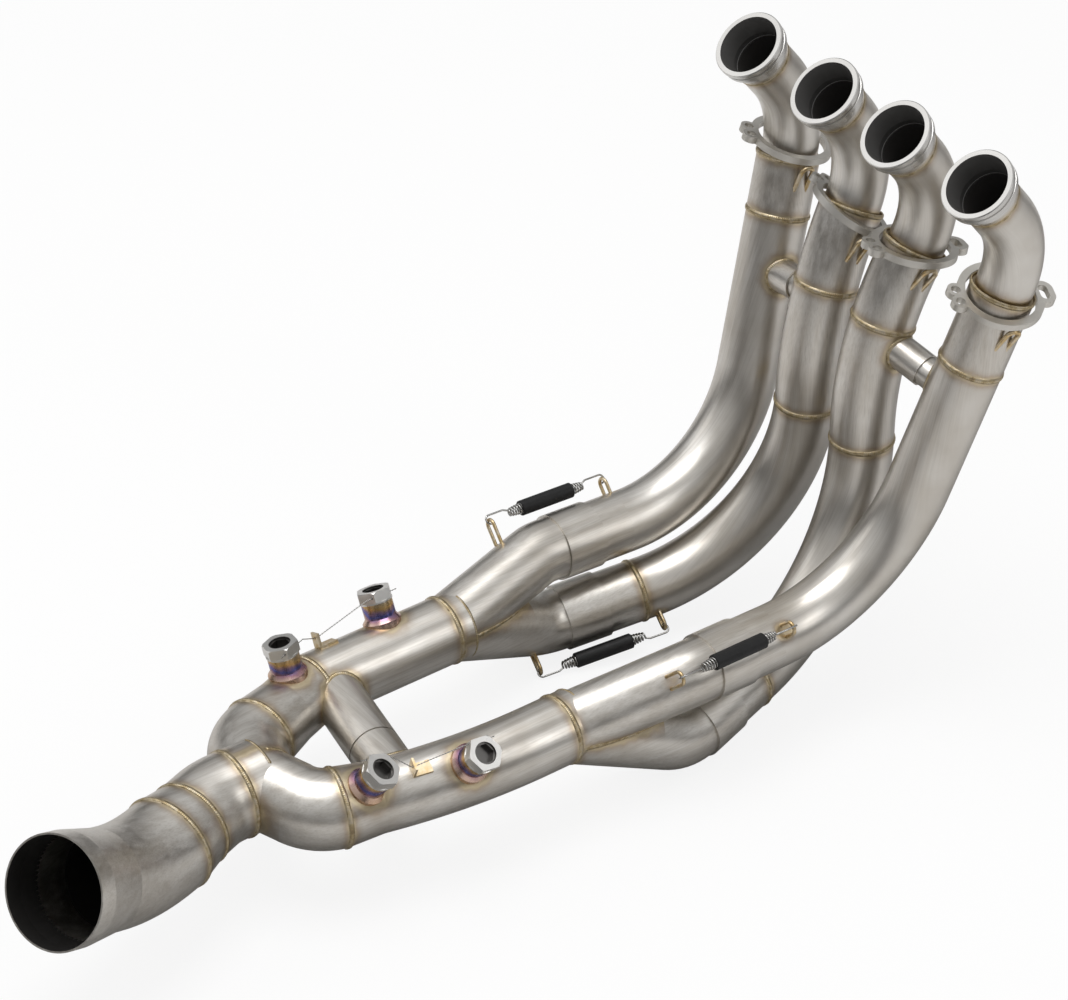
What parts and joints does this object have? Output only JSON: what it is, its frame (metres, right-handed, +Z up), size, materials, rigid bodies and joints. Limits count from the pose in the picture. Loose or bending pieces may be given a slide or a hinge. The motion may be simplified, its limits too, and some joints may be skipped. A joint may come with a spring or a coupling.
{
  "type": "motorcycle exhaust header",
  "caption": "Stainless exhaust header for an inline engine: primary pipes pair into merge collectors, join in a final merge and leave by a flared outlet.",
  "frame": {"origin": "middle of the port row, at the mouths of the four port collars", "axes": "+X along the port row from port 1 to port 4, -Y towards the outlet, +Z up"},
  "size_m": [0.284, 0.7659, 0.4234],
  "materials": {
    "brushed_tube": "brushed",
    "machined_collar": "polished",
    "flange_plate": "satin",
    "bung_steel": "satin, heat tinted",
    "plug_steel": "satin",
    "spring_steel": "bright",
    "spring_cover": "matt",
    "hook_rod": "heat tinted"
  },
  "bodies": {
    "root": {"bung_plugs": "plug_steel", "crossover_socket": "brushed_tube", "crossover_spigot": "brushed_tube", "final_merge": "brushed_tube", "flange_stop_1": "hook_rod", "flange_stop_2": "hook_rod", "flange_stop_3": "hook_rod", "flange_stop_4": "hook_rod", "head_flange_1": "flange_plate", "head_flange_2": "flange_plate", "head_flange_3": "flange_plate", "head_flange_4": "flange_plate", "lead_pipe_12": "brushed_tube", "lead_pipe_34": "brushed_tube", "link_socket_12": "brushed_tube", "link_socket_34": "brushed_tube", "link_spigot_12": "brushed_tube", "link_spigot_34": "brushed_tube", "lock_wires": "plug_steel", "merge_collector_12": "brushed_tube", "merge_collector_34": "brushed_tube", "outlet_pipe": "brushed_tube", "plug_washers": "plug_steel", "port_collar_1": "machined_collar", "port_collar_2": "machined_collar", "port_collar_3": "machined_collar", "port_collar_4": "machined_collar", "port_elbow_1": "brushed_tube", "port_elbow_2": "brushed_tube", "port_elbow_3": "brushed_tube", "port_elbow_4": "brushed_tube", "primary_bend_1": "brushed_tube", "primary_bend_2": "brushed_tube", "primary_bend_3": "brushed_tube", "primary_bend_4": "brushed_tube", "primary_middle_2": "brushed_tube", "primary_middle_3": "brushed_tube", "primary_neck_1": "brushed_tube", "primary_neck_2": "brushed_tube", "primary_neck_3": "brushed_tube", "primary_neck_4": "brushed_tube", "primary_slip_end_1": "brushed_tube", "primary_slip_end_2": "brushed_tube", "primary_slip_end_3": "brushed_tube", "primary_slip_end_4": "brushed_tube", "secondary_12": "brushed_tube", "secondary_34": "brushed_tube", "sensor_bungs": "bung_steel", "spring_1": "spring_steel", "spring_2": "spring_steel", "spring_3": "spring_steel", "spring_4": "spring_steel", "spring_hooks": "hook_rod", "spring_sleeve_1": "spring_cover", "spring_sleeve_2": "spring_cover", "spring_sleeve_3": "spring_cover", "spring_sleeve_4": "spring_cover", "tail_bend": "brushed_tube", "tail_link": "brushed_tube", "wire_tabs": "hook_rod"}
  },
  "joints": []
}
